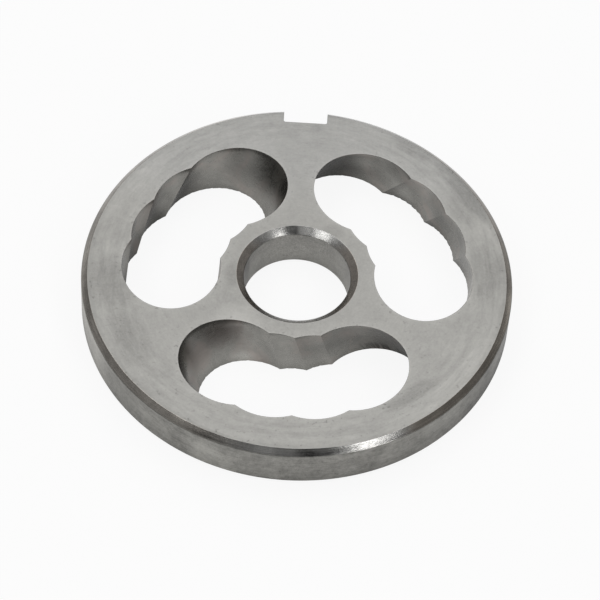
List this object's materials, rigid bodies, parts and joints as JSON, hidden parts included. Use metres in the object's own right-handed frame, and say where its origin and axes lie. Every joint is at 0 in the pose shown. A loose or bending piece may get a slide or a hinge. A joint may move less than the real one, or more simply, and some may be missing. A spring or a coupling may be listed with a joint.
{
  "type": "mincer pre-cutter plate",
  "caption": "Round flat steel plate with a central bore, curved openings drilled as rows of leaning, overlapping holes, and a keying notch in its rim.",
  "frame": {"origin": "on the bore's axis, halfway through the plate", "axes": "+Z along the bore's axis, out of the upper face, which the picture shows; +Y towards the keying notch"},
  "size_m": [0.082, 0.0818, 0.01],
  "materials": {
    "steel": "ground faces, turned rim and bore, drilled openings"
  },
  "bodies": {
    "root": {"precutter_plate": "steel"}
  },
  "joints": []
}
